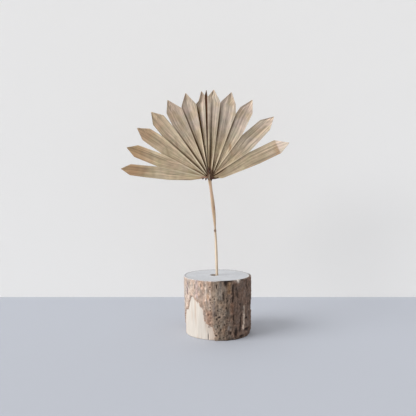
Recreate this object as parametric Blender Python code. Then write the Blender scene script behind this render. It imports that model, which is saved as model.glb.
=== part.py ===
"""A dried fan palm leaf on its stalk, standing in a hole bored in a short log.

Metres, +Z up, seen from -Y. The origin is the centre of the log's underside.
palm_frond is one grown piece: a pleated blade, the hub where its pleats meet, and the stalk.
log_holder is one grown piece: a slice of trunk with its bark, bored to take the stalk.
"""

import math

import bmesh
import bpy
from mathutils import Vector

MM = 0.001
SHARP_ANGLE = math.radians(30)

# Log
LOG_RADIUS = 50 * MM
LOG_HEIGHT = 84 * MM
LOG_EDGE = 1.2 * MM
LOG_COLUMNS = 60
LOG_LEVELS = 6
# Each lobe of the trunk's outline: how many round the trunk, its share of the radius, its phase.
LOG_LOBES = ((2, 0.010, 0.4), (3, 0.008, 2.1), (5, 0.006, 0.9))
LOG_TAPER = 0.045

# Bore in the log's top, drilled a little to the left of the log's axis
BORE_X = -4.6 * MM
BORE_RADIUS = 6.5 * MM
BORE_DEPTH = 45 * MM
BORE_SIDES = 32
CUTTER_REACH = 5 * MM
GAP = 0.3 * MM

# Stalk: (height, x, y, radius), from its cut end in the bore up to the blade. The knot is at 150 mm.
STALK = (
    (LOG_HEIGHT - BORE_DEPTH + GAP, -0.35 * MM, 0.0, 1.85 * MM),
    (62 * MM, -0.40 * MM, 0.0, 1.85 * MM),
    (84 * MM, -0.60 * MM, 0.0, 1.85 * MM),
    (97 * MM, -0.90 * MM, 0.1 * MM, 1.85 * MM),
    (111 * MM, -1.30 * MM, 0.3 * MM, 1.95 * MM),
    (126 * MM, -1.80 * MM, 0.5 * MM, 1.85 * MM),
    (140 * MM, -2.40 * MM, 0.6 * MM, 1.60 * MM),
    (147.5 * MM, -2.95 * MM, 0.6 * MM, 1.50 * MM),
    (150 * MM, -3.35 * MM, 0.6 * MM, 1.90 * MM),
    (152.5 * MM, -3.30 * MM, 0.6 * MM, 1.45 * MM),
    (158 * MM, -3.55 * MM, 0.6 * MM, 1.55 * MM),
    (168 * MM, -4.25 * MM, 0.7 * MM, 2.05 * MM),
    (184 * MM, -5.80 * MM, 0.6 * MM, 2.50 * MM),
    (196 * MM, -7.20 * MM, 0.4 * MM, 2.40 * MM),
    (208 * MM, -8.90 * MM, 0.2 * MM, 2.20 * MM),
    (218 * MM, -10.25 * MM, 0.0, 2.10 * MM),
)
STALK_SIDES = 12

# Hub: (height, x, half width, half depth), the dark spindle where stalk and pleats meet
HUB = (
    (225 * MM, -11.30 * MM, 3.6 * MM, 3.0 * MM),
    (230 * MM, -12.00 * MM, 4.8 * MM, 3.4 * MM),
    (235 * MM, -12.35 * MM, 3.6 * MM, 3.0 * MM),
    (240 * MM, -12.50 * MM, 2.0 * MM, 2.2 * MM),
    (245 * MM, -12.55 * MM, 0.8 * MM, 1.2 * MM),
)

# Blade: every pleat runs out from the pole. Angles are in degrees from +X, anticlockwise seen from -Y.
POLE_X = -12.1 * MM
POLE_Z = 229.9 * MM
BLADE_WALL = 0.8 * MM
INNER_RADIUS = 3 * MM
# Rows across the fused part of the blade. Two neighbours split apart at one of these radii.
ROWS = tuple(r * MM for r in (3, 6, 10, 16, 25, 36, 48, 60, 70, 78, 93, 102, 111))
# Each segment from left to right: tip angle, tip radius, shoulder radius, shoulder width, pleat height
SEGMENTS = (
    (174.7, 130.5 * MM, 117 * MM, 16.5 * MM, 0.6 * MM),
    (160.4, 129.5 * MM, 115 * MM, 18.5 * MM, 0.8 * MM),
    (145.9, 129.0 * MM, 113 * MM, 20.4 * MM, 1.0 * MM),
    (131.8, 129.6 * MM, 114 * MM, 21.2 * MM, 1.3 * MM),
    (118.5, 129.8 * MM, 114 * MM, 21.4 * MM, 1.8 * MM),
    (105.5, 129.8 * MM, 115 * MM, 19.8 * MM, 2.6 * MM),
    (95.9, 128.5 * MM, 115 * MM, 10.6 * MM, 3.6 * MM),
    (92.4, 128.6 * MM, 116 * MM, 2.6 * MM, 0.4 * MM),
    (86.7, 130.3 * MM, 117 * MM, 18.4 * MM, 3.2 * MM),
    (75.2, 130.4 * MM, 115 * MM, 21.6 * MM, 2.2 * MM),
    (60.8, 131.2 * MM, 114 * MM, 20.4 * MM, 1.6 * MM),
    (43.0, 131.3 * MM, 114 * MM, 20.6 * MM, 1.2 * MM),
    (23.1, 126.6 * MM, 112 * MM, 19.0 * MM, 0.8 * MM),
)
# Each fold between two neighbours: its angle, and the row at which they split
FOLDS = (
    (168.6, 9),
    (153.9, 9),
    (138.7, 10),
    (125.3, 10),
    (111.6, 12),
    (100.1, 12),
    (93.3, 11),
    (91.6, 11),
    (81.2, 12),
    (67.3, 11),
    (51.8, 9),
    (31.8, 8),
)
# Free margins of the first and last segment: (radius, angle), straight between the points
LEFT_MARGIN = ((3 * MM, 200), (28 * MM, 190), (59 * MM, 184.3), (93 * MM, 180.4), (117 * MM, 178.7))
RIGHT_MARGIN = ((3 * MM, -14), (20 * MM, -5), (39 * MM, 8), (78 * MM, 15), (112 * MM, 18.3))
# Where the columns of a segment stand, from its left edge at 0 to its right edge at 1
STEEP_SIDE = 0.16
MIDRIB = 0.5
COLUMNS = (0.0, STEEP_SIDE, MIDRIB, 1.0)
TROUGH = 0.25
# The blade leans back at its top and comes forward at its sides
LEAN_BACK = 5 * MM
SIDES_FORWARD = 9 * MM
# The last segment's tip is creased forward
CREASED_SEGMENT = len(SEGMENTS) - 1
CREASE_ANGLE = math.radians(35)


def remove_everything():
    for found in list(bpy.data.objects):
        bpy.data.objects.remove(found)


def finish_of(name, colour, roughness):
    """A Principled BSDF of one colour."""
    material = bpy.data.materials.new(name)
    material.use_nodes = True
    shader = material.node_tree.nodes["Principled BSDF"]
    shader.inputs["Base Color"].default_value = (*colour, 1.0)
    shader.inputs["Roughness"].default_value = roughness
    shader.inputs["Metallic"].default_value = 0.0
    return material


def object_from(name, bm, material=None):
    """Turns bm into a linked object with its faces pointing out."""
    bmesh.ops.recalc_face_normals(bm, faces=bm.faces)
    mesh = bpy.data.meshes.new(name)
    bm.to_mesh(mesh)
    bm.free()
    made = bpy.data.objects.new(name, mesh)
    bpy.context.scene.collection.objects.link(made)
    if material:
        mesh.materials.append(material)
    return made


def shade_round(made):
    """Smooth over its curves and sharp at its edges."""
    made.data.shade_smooth()
    made.data.set_sharp_from_angle(angle=SHARP_ANGLE)


def combine(target, operand, operation):
    """Adds or cuts a helper, which stays hidden."""
    operand.hide_render = True
    operand.display_type = "WIRE"
    boolean = target.modifiers.new(operand.name, "BOOLEAN")
    boolean.operation = operation
    boolean.object = operand
    boolean.solver = "EXACT"


def between(points, at):
    """Reads a list of (position, value) pairs at a position, straight between them."""
    for (p0, v0), (p1, v1) in zip(points, points[1:]):
        if at <= p1:
            share = max(0.0, (at - p0) / (p1 - p0))
            return v0 + (v1 - v0) * share
    return points[-1][1]


def skin_rings(bm, rings):
    """Joins closed rings of equally many points into a capped tube."""
    made = [[bm.verts.new(p) for p in ring] for ring in rings]
    for low, high in zip(made, made[1:]):
        for i in range(len(low)):
            j = (i + 1) % len(low)
            bm.faces.new((low[i], low[j], high[j], high[i]))
    bm.faces.new(list(reversed(made[0])))
    bm.faces.new(made[-1])


# The log


def log_outline(angle, height):
    """The trunk's radius: lobed round its girth, and narrowing towards its foot."""
    lobes = sum(share * math.cos(count * angle + phase) for count, share, phase in LOG_LOBES)
    narrowing = LOG_TAPER * (1.0 - height / LOG_HEIGHT)
    return LOG_RADIUS * (1.0 + lobes - narrowing)


def log_ring(height, inset):
    ring = []
    for i in range(LOG_COLUMNS):
        angle = 2 * math.pi * i / LOG_COLUMNS
        radius = log_outline(angle, height) - inset
        ring.append((radius * math.cos(angle), radius * math.sin(angle), height))
    return ring


def make_log(material):
    bm = bmesh.new()
    heights = [LOG_EDGE + (LOG_HEIGHT - 2 * LOG_EDGE) * i / (LOG_LEVELS - 1) for i in range(LOG_LEVELS)]
    rings = [log_ring(0.0, LOG_EDGE)]
    rings += [log_ring(height, 0.0) for height in heights]
    rings += [log_ring(LOG_HEIGHT, LOG_EDGE)]
    skin_rings(bm, rings)
    log = object_from("log_holder", bm, material)
    shade_round(log)

    cutter_bm = bmesh.new()
    length = BORE_DEPTH + CUTTER_REACH
    bmesh.ops.create_cone(
        cutter_bm, cap_ends=True, segments=BORE_SIDES, radius1=BORE_RADIUS, radius2=BORE_RADIUS, depth=length
    )
    cutter = object_from("bore_cutter", cutter_bm)
    cutter.location = (BORE_X, 0.0, LOG_HEIGHT + CUTTER_REACH - length / 2)
    combine(log, cutter, "DIFFERENCE")


# The stalk and hub


def oval_ring(x, y, height, half_width, half_depth):
    turns = [2 * math.pi * i / STALK_SIDES for i in range(STALK_SIDES)]
    return [(x + half_width * math.cos(a), y + half_depth * math.sin(a), height) for a in turns]


def make_stalk():
    bm = bmesh.new()
    rings = [oval_ring(x, y, height, radius, radius) for height, x, y, radius in STALK]
    rings += [oval_ring(x, 0.0, height, width, depth) for height, x, width, depth in HUB]
    skin_rings(bm, rings)
    stalk = object_from("stalk_and_hub", bm)
    shade_round(stalk)
    return stalk


# The blade


def edge_angle(index, side, radius):
    """The angle, in degrees, of a segment's left (side 0) or right (side 1) edge at a radius."""
    tip_angle, tip_radius, shoulder, width, _ = SEGMENTS[index]
    fold = index - 1 + side
    if radius > shoulder:
        half = 0.5 * width * (tip_radius - radius) / (tip_radius - shoulder)
    elif fold < 0:
        return between(LEFT_MARGIN, radius)
    elif fold >= len(FOLDS):
        return between(RIGHT_MARGIN, radius)
    else:
        fold_angle, split_row = FOLDS[fold]
        split = ROWS[split_row]
        if radius <= split:
            return fold_angle
        at_split = split * math.sin(math.radians(abs(fold_angle - tip_angle)))
        half = at_split + (0.5 * width - at_split) * (radius - split) / (shoulder - split)
    turn = math.degrees(math.asin(half / radius))
    return tip_angle + (turn if side == 0 else -turn)


def pleat_growth(radius):
    """Share of the full pleat height: it grows out from the hub and eases off towards the tips."""
    return between(((3 * MM, 0.12), (25 * MM, 1.0), (75 * MM, 1.0), (130 * MM, 0.45)), radius)


def ridge_height(fold, radius):
    """How far forward the fold between two neighbours stands."""
    if fold < 0 or fold >= len(FOLDS):
        return 0.0
    return 0.5 * (SEGMENTS[fold][4] + SEGMENTS[fold + 1][4]) * pleat_growth(radius)


def forward(index, share, radius):
    """How far forward a point stands: a steep drop right of each ridge, then a slow climb to the next."""
    left = ridge_height(index - 1, radius)
    right = ridge_height(index, radius)
    trough = -TROUGH * SEGMENTS[index][4] * pleat_growth(radius)
    profile = ((0.0, left), (STEEP_SIDE, 0.2 * trough), (MIDRIB, trough), (1.0, right))
    return between(profile, share)


def blade_point(index, share, radius):
    """A point of the blade's front face."""
    left, right = (math.radians(edge_angle(index, side, radius)) for side in (0, 1))
    angle = left + (right - left) * share
    height = forward(index, share, radius)
    shoulder = SEGMENTS[index][2]
    if index == CREASED_SEGMENT and radius > shoulder:
        height += (radius - shoulder) * math.tan(CREASE_ANGLE)
    reach = (radius / SEGMENTS[index][1]) ** 2
    height += SIDES_FORWARD * reach * abs(math.cos(angle)) - LEAN_BACK * reach * math.sin(angle)
    return Vector((POLE_X + radius * math.cos(angle), -height, POLE_Z + radius * math.sin(angle)))


def segment_radii(index):
    """The row radii of one segment, the last one being its tip."""
    _, tip_radius, shoulder, _, _ = SEGMENTS[index]
    rows = [radius for radius in ROWS if radius < shoulder]
    return rows + [shoulder, 0.5 * (shoulder + tip_radius), tip_radius]


def add_segment(bm, index):
    rows = []
    radii = segment_radii(index)
    for radius in radii[:-1]:
        rows.append([bm.verts.new(blade_point(index, share, radius)) for share in COLUMNS])
    tip = bm.verts.new(blade_point(index, MIDRIB, radii[-1]))
    for i in range(len(COLUMNS) - 1):
        for inner, outer in zip(rows, rows[1:]):
            bm.faces.new((inner[i], inner[i + 1], outer[i + 1], outer[i]))
        bm.faces.new((rows[-1][i], rows[-1][i + 1], tip))
    return rows


def weld_folds(bm, segments):
    """Joins each two neighbours along their fold, up to the row at which they split."""
    targets = {}
    for fold, (_, split_row) in enumerate(FOLDS):
        for row in range(split_row + 1):
            targets[segments[fold + 1][row][0]] = segments[fold][row][-1]
    bmesh.ops.weld_verts(bm, targetmap=targets)


def thicken(bm, wall):
    """Gives an open sheet a back face behind it, along +Y, and closes its rim."""
    front = list(bm.faces)
    rim = [edge for edge in bm.edges if edge.is_boundary]
    back = {vert: bm.verts.new(vert.co + Vector((0.0, wall, 0.0))) for vert in list(bm.verts)}
    for face in front:
        bm.faces.new([back[vert] for vert in reversed(face.verts)])
    for edge in rim:
        first, second = edge.verts
        bm.faces.new((first, second, back[second], back[first]))


def make_frond(material):
    bm = bmesh.new()
    segments = [add_segment(bm, index) for index in range(len(SEGMENTS))]
    weld_folds(bm, segments)
    thicken(bm, BLADE_WALL)
    bmesh.ops.triangulate(bm, faces=bm.faces)
    frond = object_from("palm_frond", bm, material)
    combine(frond, make_stalk(), "UNION")


def main():
    remove_everything()
    dried_leaf = finish_of("dried_leaf", (0.46, 0.37, 0.25), 0.75)
    wood = finish_of("wood", (0.36, 0.25, 0.17), 0.85)
    make_log(wood)
    make_frond(dried_leaf)


main()
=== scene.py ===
"""Looks of a dried fan palm leaf that stands in a bored log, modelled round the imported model."""

import math
import random
from collections import namedtuple

import bpy
import numpy as np
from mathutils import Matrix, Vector, noise


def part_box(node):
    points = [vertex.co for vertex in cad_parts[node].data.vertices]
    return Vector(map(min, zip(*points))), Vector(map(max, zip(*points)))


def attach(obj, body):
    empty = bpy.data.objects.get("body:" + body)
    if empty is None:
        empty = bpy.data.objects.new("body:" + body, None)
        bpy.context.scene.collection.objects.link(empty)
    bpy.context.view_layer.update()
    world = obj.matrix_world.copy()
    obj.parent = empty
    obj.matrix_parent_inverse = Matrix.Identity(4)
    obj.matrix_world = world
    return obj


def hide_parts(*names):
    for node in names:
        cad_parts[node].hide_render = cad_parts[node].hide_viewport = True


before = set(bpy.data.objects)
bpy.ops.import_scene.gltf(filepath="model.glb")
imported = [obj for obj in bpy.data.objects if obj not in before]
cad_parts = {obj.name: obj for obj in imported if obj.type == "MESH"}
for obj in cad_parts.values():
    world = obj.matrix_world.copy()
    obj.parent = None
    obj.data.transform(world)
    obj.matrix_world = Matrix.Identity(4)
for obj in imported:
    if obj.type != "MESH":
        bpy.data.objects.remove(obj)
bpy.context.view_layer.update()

MM = 0.001
LOG_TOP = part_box("log_holder")[1].z
STALK_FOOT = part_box("palm_frond")[0].z

# Fan: the pole is where its outer folds meet. Angles are in degrees from +X towards +Z
POLE = np.array((-12.1 * MM, 0.0, 229.9 * MM))
BLADE_THICKNESS = 0.45 * MM
FIRST_RADIUS = 4 * MM
ROW_STEP = 1.5 * MM
ARROW_ROWS = 10
WIDE_COLUMNS = 37
NARROW_COLUMNS = 9
NARROW_WIDTH = 5

# Sections of a pleat, across a segment from its left edge at 0 to its right edge at 1, and from its
# valley at 0 to its ridges at 1
FLAT_PLEAT = ((0, 0.8), (0.16, 0.3), (0.45, 0.1), (0.7, 0.3), (0.94, 0.85), (1, 1))
PLAIN_PLEAT = ((0, 1), (0.2, 0.06), (0.4, 0), (0.92, 0.78), (1, 1))
STEEP_PLEAT = ((0, 1), (0.24, 0.05), (0.5, 0.12), (0.72, 0.6), (0.8, 0.62), (1, 1))
OPEN_PLEAT = ((0, 1), (0.14, 0.94), (0.36, 0), (0.42, 0.24), (0.66, 0.6), (0.94, 0.86), (1, 1))
MID_PLEAT = ((0, 1), (0.18, 0.22), (0.34, 0.34), (0.62, 0), (0.68, 0.24), (0.93, 0.8), (1, 1))
SOFT_PLEAT = ((0, 0.7), (0.3, 0.35), (0.6, 0.2), (0.85, 0.6), (1, 0.9))
GROOVE = ((0, 1), (0.5, -0.1), (1, 1))

Segment = namedtuple(
    "Segment", "angle tip left_shoulder right_shoulder width hub_depth tip_depth section"
)
# Segments from left to right, in degrees and mm: the tip, the radii where the sides turn in to it,
# the width there, and the pleat's depth near the hub and at the tip. The first one's left side and
# the last one's right side follow the margins below, so their widths only place the other side.
SEGMENTS = (
    Segment(174.7, 130.5, 117, 117, 16.5, 1.2, 0.5, SOFT_PLEAT),
    Segment(160.4, 129.5, 115, 115, 18.5, 1.6, 0.7, SOFT_PLEAT),
    Segment(145.9, 129, 113, 113, 20.4, 2.4, 1, FLAT_PLEAT),
    Segment(131.8, 129.6, 114, 114, 21.2, 3.8, 1.6, PLAIN_PLEAT),
    Segment(118.5, 130.2, 114, 114, 21.4, 4, 2, PLAIN_PLEAT),
    Segment(105.8, 130.4, 115, 113, 19.8, 4.2, 2.8, PLAIN_PLEAT),
    Segment(95.3, 129.3, 114, 122, 11, 4.2, 3.4, STEEP_PLEAT),
    Segment(91.9, 130.6, 122, 120, 3.4, 2, 1.5, GROOVE),
    Segment(87, 130.9, 120, 116, 18.4, 4.4, 2.6, OPEN_PLEAT),
    Segment(75.3, 130.9, 115, 115, 21.6, 4.2, 2.8, MID_PLEAT),
    Segment(60.8, 131.4, 114, 114, 20.4, 2.8, 2.2, MID_PLEAT),
    Segment(43, 131.5, 114, 114, 20.6, 2, 1.7, MID_PLEAT),
    Segment(23.1, 127.6, 111, 112, 24.5, 1.2, 0.9, SOFT_PLEAT),
)
Fold = namedtuple("Fold", "angle split root near middle far")
# Folds between neighbours, in degrees and mm: where they split, where they leave the hub (right and
# up from the pole), and how dark they are painted near the hub, halfway and further out, partly
# their own brown and partly painted shade
FOLDS = (
    Fold(168.6, 78, (-1, -0.5), 0.45, 0.25, 0.12),
    Fold(153.9, 78, (-1, -1.2), 0.8, 0.35, 0.4),
    Fold(138.9, 92, (-3.5, 1.5), 0.95, 0.8, 0.65),
    Fold(125.6, 93, (-2, 2), 0.95, 0.9, 0.7),
    Fold(111.8, 111, (-1.8, 5.2), 0.95, 1, 0.75),
    Fold(100.2, 111, (-2.4, 10), 0.9, 1, 1),
    Fold(93.1, 122, (-2.2, 14), 0.6, 0.8, 0.9),
    Fold(91.2, 120, (-1.2, 15), 0, 0, 0),
    Fold(81.4, 112, (3.2, 2.4), 0.95, 0.25, 0.8),
    Fold(67.2, 102, (4.9, 2.2), 0.95, 0.2, 0.75),
    Fold(51.9, 79, (5, 2), 0.2, 0.25, 0.5),
    Fold(31.8, 70, (5.1, 1.7), 0.95, 0.1, 0.2),
)
# Free margins of the first and last segment: radius and angle
LEFT_MARGIN = ((4, 198), (12, 193), (28, 190), (59, 184.3), (93, 180.4), (117, 178.7))
RIGHT_MARGIN = ((4, -14), (12, -9), (20, -5), (39, 8), (78, 15), (112, 18.3))
LEAN_BACK = 5 * MM
SIDES_FORWARD = 9 * MM
# The last segment's tip is folded forward, and one segment right of the middle has painted shade in
# its valley
FOLDED = len(SEGMENTS) - 1
FOLDED_SLOPE = 0.45
DEEP = 8
# How far one free edge of a segment curls back and the other forward, and how soon after the split
CURL_BACK = 1.2 * MM
CURL_FORWARD = 0.7 * MM
CURL_FROM = 20 * MM
CURL_OVER = 22 * MM
BEND_FROM = 70 * MM
PLEAT_ROUNDING = 0.018
# How far apart the segments' vein patterns are taken from the noise
VEIN_STEP = 0.37


# Helpers


def srgb(red, green, blue):
    """A display colour as scene-linear numbers."""
    shares = np.array((red, green, blue)) / 255.0
    return np.where(shares <= 0.04045, shares / 12.92, ((shares + 0.055) / 1.055) ** 2.4)


def smooth(low, high, value):
    """0 below low, 1 above high, and an S-curve between."""
    share = np.clip((value - low) / (high - low), 0, 1)
    return share * share * (3 - 2 * share)


def hump(value, centre, width):
    return np.exp(-(((value - centre) / width) ** 2))


def read(pairs, at, blur=0):
    """Reads a list of (position, value) pairs at positions, with its corners rounded over blur."""
    places, values = zip(*pairs)
    steps = (0,) if blur == 0 else np.linspace(-1, 1, 9) * blur
    return sum(np.interp(at + step, places, values) for step in steps) / len(steps)


def mix(first, second, share):
    return first + (second - first) * np.asarray(share)[..., None]


def cloud(points, size, shift=0, octaves=3):
    """Smooth noise, about -1 to 1, at points in metres. Its blobs are size mm, which is a number
    or three along X, Y and Z."""
    scaled = points.reshape(-1, 3) / (MM * np.array(size)) + shift
    values = [noise.fractal(Vector(point), 1.0, 2.0, octaves) for point in scaled]
    return np.array(values).reshape(points.shape[:-1])


def quads(grid):
    """What a grid holds at the four corners of each quad between neighbouring rows and columns."""
    return np.stack((grid[:-1, :-1], grid[:-1, 1:], grid[1:, 1:], grid[1:, :-1]), axis=2)


def only_used(faces):
    """The numbers of the points that some face uses, and the faces in terms of those alone."""
    used, renumbered = np.unique(faces, return_inverse=True)
    return used, renumbered.reshape(np.shape(faces))


def close_tube(rings):
    """Points and faces of a tube through closed rings, with a point in the middle of each end."""
    rows, columns, _ = rings.shape
    numbers = np.arange(rows * columns).reshape(rows, columns)
    faces = quads(np.concatenate((numbers, numbers[:, :1]), axis=1)).reshape(-1, 4).tolist()
    first, last = rows * columns, rows * columns + 1
    for i in range(columns):
        j = (i + 1) % columns
        faces.append((numbers[0, j], numbers[0, i], first))
        faces.append((numbers[-1, i], numbers[-1, j], last))
    ends = np.array((rings[0].mean(axis=0), rings[-1].mean(axis=0)))
    return np.concatenate((rings.reshape(-1, 3), ends)), faces


def with_ends(values):
    """Values for the points of close_tube, from values on its rings."""
    return np.concatenate((values.reshape(-1, values.shape[-1]), values[0, :1], values[-1, :1]))


def tube_grid(table, low, step, sides, blur):
    """Height and turn of each point of a tube's grid, and a table's columns read at its heights."""
    heights = np.arange(low, table[-1, 0], step)
    columns = [read(table[:, (0, i)], heights, blur)[:, None] for i in range(1, table.shape[1])]
    around, up = np.meshgrid(np.linspace(0, 2 * math.pi, sides, endpoint=False), heights)
    return up, around, columns


def store_tint(piece, tint, domain="POINT"):
    """Keeps a colour with each point or corner of a piece, for its material to read."""
    made = piece.data.attributes.new("tint", "FLOAT_COLOR", domain)
    tint = np.concatenate((tint, np.ones((len(tint), 1))), axis=1)
    made.data.foreach_set("color", tint.astype(np.float32).ravel())


def put(name, data, heading=None):
    """An object in the scene, turned to look along heading where one is given."""
    made = bpy.data.objects.new(name, data)
    if heading:
        made.rotation_euler = heading.to_track_quat("-Z", "Y").to_euler()
    bpy.context.scene.collection.objects.link(made)
    return made


def make_piece(name, points, faces, material, node):
    """A smooth-shaded mesh that rides with the model and stands for one of its nodes."""
    mesh = bpy.data.meshes.new(name)
    mesh.from_pydata(points.tolist(), [], [tuple(face) for face in faces])
    mesh.shade_smooth()
    mesh.materials.append(material)
    piece = put(name, mesh)
    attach(piece, "root")
    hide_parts(node)
    return piece


# Materials


class Finish:
    """A Principled material and short ways to add nodes to it."""

    def __init__(self, name, roughness, specular=0.3):
        self.material = bpy.data.materials.new(name)
        self.material.use_nodes = True
        self.tree = self.material.node_tree
        self.shader = self.tree.nodes["Principled BSDF"]
        self.shader.inputs["Roughness"].default_value = roughness
        self.shader.inputs["Specular IOR Level"].default_value = specular

    def add(self, kind, values=None, links=None, **settings):
        node = self.tree.nodes.new(kind)
        for key, value in settings.items():
            setattr(node, key, value)
        for key, value in (values or {}).items():
            node.inputs[key].default_value = value
        for key, source in (links or {}).items():
            self.tree.links.new(source, node.inputs[key])
        return node

    def stored(self, name, output):
        return self.add("ShaderNodeAttribute", attribute_name=name).outputs[output]

    def place(self):
        return self.add("ShaderNodeTexCoord").outputs["Object"]

    def noise(self, source, scale, detail=3.0, roughness=0.5):
        place = self.add("ShaderNodeMapping", {"Scale": scale}, {"Vector": source})
        values = {"Scale": 1.0, "Detail": detail, "Roughness": roughness}
        links = {"Vector": place.outputs["Vector"]}
        return self.add("ShaderNodeTexNoise", values, links).outputs["Fac"]

    def ramp(self, source, to_low, to_high, low=0.3, high=0.7):
        """Turns low to high, where most of a noise lies, into to_low to to_high."""
        values = {"From Min": low, "From Max": high, "To Min": to_low, "To Max": to_high}
        return self.add("ShaderNodeMapRange", values, {"Value": source}).outputs["Result"]

    def between(self, share, first, second):
        """A colour from first to second, by a share output."""
        node = self.add("ShaderNodeMix", data_type="RGBA")
        sockets = {socket.identifier: socket for socket in (*node.inputs, *node.outputs)}
        self.tree.links.new(share, sockets["Factor_Float"])
        sockets["A_Color"].default_value = (*first, 1.0)
        sockets["B_Color"].default_value = (*second, 1.0)
        return sockets["Result_Color"]

    def varied_tint(self, *changes):
        """The mesh's stored tint, scaled in turn by noises. Each change is what ramp takes."""
        tint = self.stored("tint", "Color")
        for source, *span in changes:
            links = {0: tint, "Scale": self.ramp(source, *span)}
            tint = self.add("ShaderNodeVectorMath", {}, links, operation="SCALE").outputs["Vector"]
        return tint

    def multiplied(self, first, second):
        node = self.add("ShaderNodeMath", {}, {0: first, 1: second}, operation="MULTIPLY")
        return node.outputs["Value"]

    def colour(self, source):
        self.tree.links.new(source, self.shader.inputs["Base Color"])

    def rough(self, source):
        self.tree.links.new(source, self.shader.inputs["Roughness"])

    def relief(self, height, distance, strength=1.0):
        values = {"Distance": distance, "Strength": strength}
        node = self.add("ShaderNodeBump", values, {"Height": height})
        self.tree.links.new(node.outputs["Normal"], self.shader.inputs["Normal"])


def leaf_finish():
    """Dry leaf: its own tints, fine parallel veins, soft blotches and a dull surface."""
    finish = Finish("dried_leaf", 0.7, 0.25)
    veins = finish.stored("veins", "Vector")
    fine = finish.noise(veins, (1700, 14, 7), 2)
    broad = finish.noise(veins, (560, 5, 3))
    blotch = finish.noise(finish.place(), (70, 70, 70), 4, 0.6)
    tint = finish.varied_tint((fine, 0.84, 1.12), (broad, 0.70, 1.27))
    share = finish.ramp(blotch, 0, 1, 0.35, 0.65)
    warm = finish.between(share, (0.97, 0.995, 0.95), (1.05, 0.985, 0.99))
    node = finish.add("ShaderNodeVectorMath", {}, {0: tint, 1: warm}, operation="MULTIPLY")
    finish.colour(node.outputs["Vector"])
    finish.rough(finish.ramp(broad, 0.62, 0.8))
    finish.relief(finish.multiplied(fine, broad), 0.25 * MM, 0.8)
    return finish.material


def stalk_finish():
    """Fibrous stalk: streaks along its length over its own tints."""
    finish = Finish("stalk", 0.55, 0.35)
    place = finish.place()
    fibres = finish.noise(place, (1500, 1500, 30))
    patches = finish.noise(place, (260, 260, 45))
    finish.colour(finish.varied_tint((fibres, 0.82, 1.12), (patches, 0.85, 1.12)))
    finish.rough(finish.ramp(fibres, 0.45, 0.7))
    finish.relief(fibres, 0.3 * MM, 0.8)
    return finish.material


def bark_finish():
    """Bark: vertical fibre over its own tints, specks of lichen, and a dull broken surface."""
    finish = Finish("bark", 0.9, 0.2)
    place = finish.place()
    fibres = finish.noise(place, (650, 650, 170), 4, 0.6)
    specks = finish.noise(place, (560, 560, 380), 3, 0.6)
    finish.colour(finish.varied_tint((fibres, 0.75, 1.27), (specks, 0.74, 1.28)))
    finish.rough(finish.ramp(specks, 0.8, 0.98))
    finish.relief(finish.multiplied(fibres, specks), 0.8 * MM, 1.0)
    return finish.material


def side_wood_finish():
    """Wood that the bark has come off: smooth and pale, with fine grain up and down."""
    finish = Finish("bare_wood", 0.6, 0.3)
    place = finish.place()
    grain = finish.noise(place, (700, 700, 22), 4, 0.55)
    broad = finish.noise(place, (120, 120, 18))
    finish.colour(finish.varied_tint((grain, 0.88, 1.08), (broad, 0.9, 1.07)))
    finish.rough(finish.ramp(broad, 0.5, 0.7))
    finish.relief(grain, 0.3 * MM, 0.7)
    return finish.material


def sawn_wood_finish():
    """A sawn end: faint growth rings, and the saw's fine lines across them."""
    finish = Finish("sawn_wood", 0.75, 0.25)
    place = finish.place()
    values = {"Scale": 130.0, "Distortion": 2.2, "Detail": 3.0, "Detail Scale": 1.3}
    rings = finish.add(
        "ShaderNodeTexWave", values, {"Vector": place}, wave_type="RINGS", rings_direction="Z"
    ).outputs["Fac"]
    saw = finish.noise(place, (1200, 60, 1), 2)
    stains = finish.noise(place, (55, 55, 55), 4, 0.6)
    changes = ((rings, 0.95, 1.03, 0.0, 1.0), (saw, 0.97, 1.03), (stains, 0.94, 1.04, 0.35, 0.65))
    finish.colour(finish.varied_tint(*changes))
    finish.relief(finish.multiplied(saw, rings), 0.2 * MM, 0.6)
    return finish.material


def plain_finish(name, colour):
    finish = Finish(name, 0.8, 0.2)
    finish.shader.inputs["Base Color"].default_value = (*colour, 1.0)
    return finish


# The blade

LEAF = srgb(197, 178, 149)
LEAF_ROSE = srgb(202, 187, 173)
LEAF_OLIVE = srgb(188, 169, 136)
LEAF_BROWN = srgb(180, 142, 104)
# Cream for painted highlights on the lit side of the folds
HIGHLIGHT_CREAM = srgb(240, 226, 198)
FLAP_CREAM = srgb(215, 200, 183)
LEAF_PALE = srgb(226, 210, 182)
NEAR_HUB = srgb(164, 136, 102)
# Brown along the folds: partly their own colour, partly painted shade
FOLD_BROWN_AND_SHADE = srgb(75, 50, 14)
# The narrow groove's dark brown: partly its own colour, partly painted shade
GROOVE_BROWN_AND_SHADE = srgb(90, 50, 20)
HUB_BROWN = srgb(98, 70, 50)
HUB_DARK = srgb(86, 57, 42)
HUB_OLIVE = srgb(90, 68, 38)
# How rosy each segment is further out
ROSE = (0, 0, 0, 0.25, 0.8, 1, 1, 0.9, 0.9, 1, 1, 0.8, 0.1)
# How bright each segment is from the hub to halfway out, and at its tip
BRIGHT_MIDDLE = (1, 1, 0.98, 0.97, 0.97, 0.93, 0.9, 0.9, 0.7, 0.92, 0.88, 0.87, 0.86)
BRIGHT_TIP = (1.08, 1.06, 1.04, 1, 1.08, 1.12, 1.12, 1, 1.04, 1.16, 1.04, 1.06, 0.86)
# How brown each segment's tip has turned
BROWN_TIP = (0.75, 0.75, 0.45, 0.3, 0.25, 0.15, 0.2, 0, 0, 0.1, 0.15, 0.08, 0)
# How strong the painted highlight is on each segment near the hub, on its lit side away from its
# dark fold
NEAR_HUB_HIGHLIGHT = (0.6, 0.9, 1, 1, 0.9, 0.8, 0.5, 0, 0.8, 0.7, 0.5, 0.3, 0.2)
# How far the free part of each segment bends forward at its tip
BEND = MM * np.array((1.5, -1.0, 1.0, -0.5, 0.5, 0.0, -0.5, 0.0, 0.5, 0.0, 1.5, -1.5, 1.0))
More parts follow.
